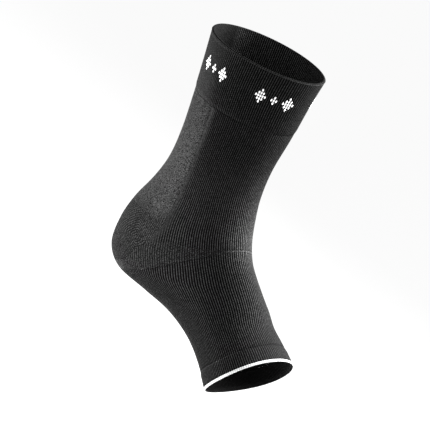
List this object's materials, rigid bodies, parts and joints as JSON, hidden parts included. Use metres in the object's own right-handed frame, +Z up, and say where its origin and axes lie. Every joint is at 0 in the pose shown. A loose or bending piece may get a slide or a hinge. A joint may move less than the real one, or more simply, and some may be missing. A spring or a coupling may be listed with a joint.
{
  "type": "compression ankle sleeve",
  "caption": "Black knitted compression sleeve for the ankle: open-toed ribbed tube with a doubled welt at each end, a plain zone at the back, a rounded heel and a pale toe edge.",
  "frame": {"origin": "centre of the ankle inside the sleeve, level with the top of the heel's curve, where the wearer's ankle holds it", "axes": "+Z up along the lower leg, +X forward towards the toes, +Y to the sleeve's left; the foot points down 39 degrees from +X"},
  "size_m": [0.1797, 0.0908, 0.2358],
  "materials": {
    "black_rib_knit": "matt ribbed knit",
    "grey_plain_knit": "matt plain knit, speckled",
    "heel_knit": "matt fine-ribbed knit",
    "white_edge_yarn": "matt knitted edge"
  },
  "bodies": {
    "root": {"leg_welt": "black_rib_knit", "leg_front": "black_rib_knit", "achilles_panel": "grey_plain_knit", "heel_cup": "heel_knit", "ankle_gusset": "heel_knit", "foot_tube": "black_rib_knit", "toe_welt": "black_rib_knit", "toe_edge": "white_edge_yarn"}
  },
  "joints": []
}
